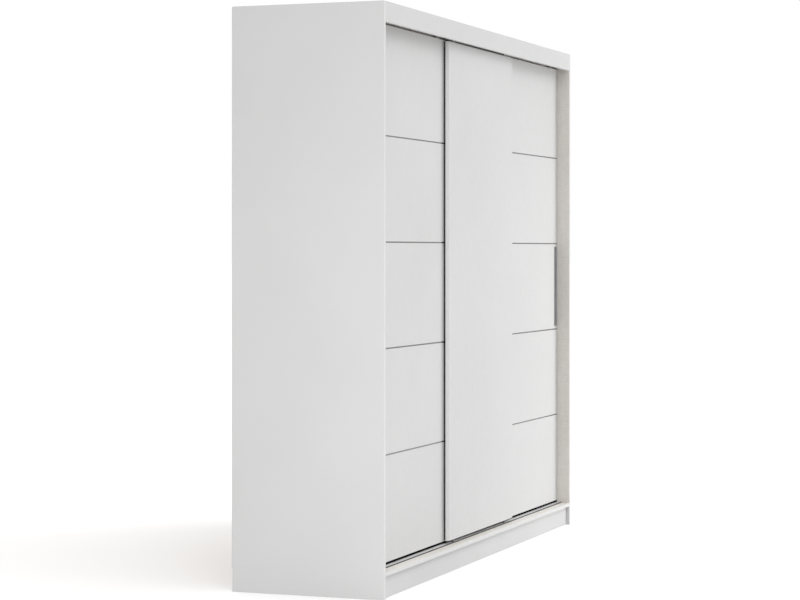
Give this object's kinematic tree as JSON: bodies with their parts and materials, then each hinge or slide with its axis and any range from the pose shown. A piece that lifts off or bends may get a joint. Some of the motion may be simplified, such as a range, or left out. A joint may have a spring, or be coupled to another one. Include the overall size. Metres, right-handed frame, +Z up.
{
  "type": "sliding door wardrobe",
  "caption": "Free-standing sliding door wardrobe: side doors with horizontal metal inlays and recessed pulls run behind a plain centre door, with shelves and hanging rods inside.",
  "frame": {"origin": "on the floor under the middle of the carcass", "axes": "+X along the front from left to right seen from the front, +Y from the front to the back, +Z up"},
  "size_m": [2.44, 0.615, 2.2],
  "materials": {
    "white_board": "white melamine-faced board, satin",
    "linen_board": "linen-pattern melamine-faced board, matt",
    "hardboard": "thin lacquered hardboard",
    "track_aluminium": "natural anodised aluminium",
    "strip_metal": "polished aluminium",
    "pull_metal": "satin aluminium",
    "rod_chrome": "bright plated tube",
    "grey_plastic": "moulded grey plastic",
    "nylon": "natural nylon"
  },
  "bodies": {
    "carcass": {"side_panel_left": "white_board", "side_panel_right": "white_board", "top_board": "white_board", "base_board": "white_board", "header_board": "white_board", "plinth_front": "white_board", "plinth_rear": "white_board", "plinth_brace_left": "linen_board", "plinth_brace_right": "linen_board", "partition_left": "linen_board", "partition_right": "linen_board", "back_panel_left": "hardboard", "back_panel_middle": "hardboard", "back_panel_right": "hardboard", "top_shelf_left": "linen_board", "top_shelf_right": "linen_board", "middle_shelf_1": "linen_board", "middle_shelf_2": "linen_board", "middle_shelf_3": "linen_board", "middle_shelf_4": "linen_board", "hanging_rod_left": "rod_chrome", "hanging_rod_right": "rod_chrome", "rod_cup_left_1": "grey_plastic", "rod_cup_left_2": "grey_plastic", "rod_cup_right_1": "grey_plastic", "rod_cup_right_2": "grey_plastic", "track_bottom": "track_aluminium", "track_top": "track_aluminium"},
    "left_door": {"left_door_panel": "white_board", "left_door_strip_1": "strip_metal", "left_door_strip_2": "strip_metal", "left_door_strip_3": "strip_metal", "left_door_strip_4": "strip_metal", "left_door_pull": "pull_metal", "left_door_roller_housing_left": "grey_plastic", "left_door_roller_housing_right": "grey_plastic", "left_door_guide_left": "nylon", "left_door_guide_right": "nylon"},
    "right_door": {"right_door_panel": "white_board", "right_door_strip_1": "strip_metal", "right_door_strip_2": "strip_metal", "right_door_strip_3": "strip_metal", "right_door_strip_4": "strip_metal", "right_door_pull": "pull_metal", "right_door_roller_housing_left": "grey_plastic", "right_door_roller_housing_right": "grey_plastic", "right_door_guide_left": "nylon", "right_door_guide_right": "nylon"},
    "centre_door": {"centre_door_panel": "white_board", "centre_door_roller_housing_left": "grey_plastic", "centre_door_roller_housing_right": "grey_plastic", "centre_door_guide_left": "nylon", "centre_door_guide_right": "nylon"},
    "left_door_wheel_left": {"left_door_wheel_left": "nylon"},
    "left_door_wheel_right": {"left_door_wheel_right": "nylon"},
    "right_door_wheel_left": {"right_door_wheel_left": "nylon"},
    "right_door_wheel_right": {"right_door_wheel_right": "nylon"},
    "centre_door_wheel_left": {"centre_door_wheel_left": "nylon"},
    "centre_door_wheel_right": {"centre_door_wheel_right": "nylon"}
  },
  "joints": [
    {"name": "left_door_slide", "type": "slide", "parent": "carcass", "child": "left_door", "axis": [1, 0, 0], "range_m": [0, 0.365]},
    {"name": "right_door_slide", "type": "slide", "parent": "carcass", "child": "right_door", "axis": [1, 0, 0], "range_m": [-0.365, 0]},
    {"name": "centre_door_slide", "type": "slide", "parent": "carcass", "child": "centre_door", "axis": [1, 0, 0], "range_m": [-0.8, 0.76]},
    {"name": "left_door_roll_left", "type": "hinge", "parent": "left_door", "child": "left_door_wheel_left", "pos_m": [-1.1215, -0.23675, 0.1138], "axis": [0, 1, 0], "range_deg": [-5, 1750]},
    {"name": "left_door_roll_right", "type": "hinge", "parent": "left_door", "child": "left_door_wheel_right", "pos_m": [-0.4485, -0.23675, 0.1138], "axis": [0, 1, 0], "range_deg": [-5, 1750]},
    {"name": "right_door_roll_left", "type": "hinge", "parent": "right_door", "child": "right_door_wheel_left", "pos_m": [0.4485, -0.23675, 0.1138], "axis": [0, 1, 0], "range_deg": [-1750, 5]},
    {"name": "right_door_roll_right", "type": "hinge", "parent": "right_door", "child": "right_door_wheel_right", "pos_m": [1.1215, -0.23675, 0.1138], "axis": [0, 1, 0], "range_deg": [-1750, 5]},
    {"name": "centre_door_roll_left", "type": "hinge", "parent": "centre_door", "child": "centre_door_wheel_left", "pos_m": [-0.317, -0.26025, 0.1138], "axis": [0, 1, 0], "range_deg": [-3825, 3635]},
    {"name": "centre_door_roll_right", "type": "hinge", "parent": "centre_door", "child": "centre_door_wheel_right", "pos_m": [0.356, -0.26025, 0.1138], "axis": [0, 1, 0], "range_deg": [-3825, 3635]}
  ],
  "couplings": [
    {"joint": "left_door_roll_left", "follows": "left_door_slide", "rad_per_m": 83.333},
    {"joint": "left_door_roll_right", "follows": "left_door_slide", "rad_per_m": 83.333},
    {"joint": "right_door_roll_left", "follows": "right_door_slide", "rad_per_m": 83.333},
    {"joint": "right_door_roll_right", "follows": "right_door_slide", "rad_per_m": 83.333},
    {"joint": "centre_door_roll_left", "follows": "centre_door_slide", "rad_per_m": 83.333},
    {"joint": "centre_door_roll_right", "follows": "centre_door_slide", "rad_per_m": 83.333}
  ]
}
